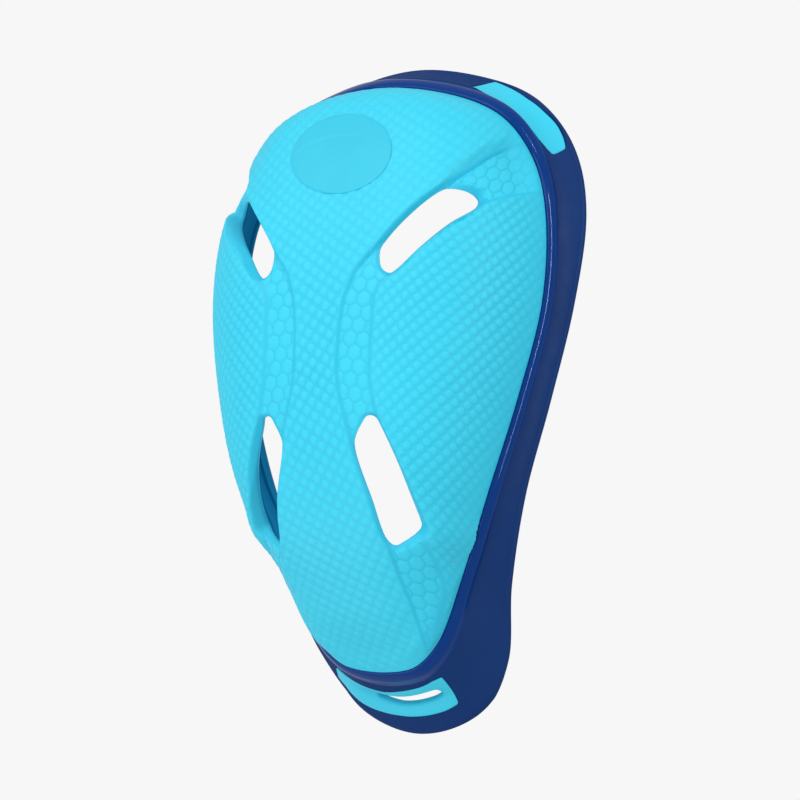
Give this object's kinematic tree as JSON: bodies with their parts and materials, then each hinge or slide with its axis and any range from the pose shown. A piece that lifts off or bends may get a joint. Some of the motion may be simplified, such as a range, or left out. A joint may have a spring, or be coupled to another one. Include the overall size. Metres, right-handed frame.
{
  "type": "abdominal guard",
  "caption": "Domed sports groin protector: a hard vented cup with a raised hourglass panel, set in a soft flared rim with strap windows.",
  "frame": {"origin": "middle of the rim's footprint, on the surface that the guard stands on", "axes": "+Z out of the front of the cup, +Y towards its wide upper end, +X to the right of a viewer who faces the front"},
  "size_m": [0.105, 0.1674, 0.0475],
  "materials": {
    "shell": "satin moulded polypropylene with a pip and hexagon texture",
    "rim": "soft semi-gloss thermoplastic elastomer",
    "label": "clear film, seen tinted by the cup behind it"
  },
  "bodies": {
    "root": {"shell": "shell", "rim": "rim", "label_disc": "label"}
  },
  "joints": []
}
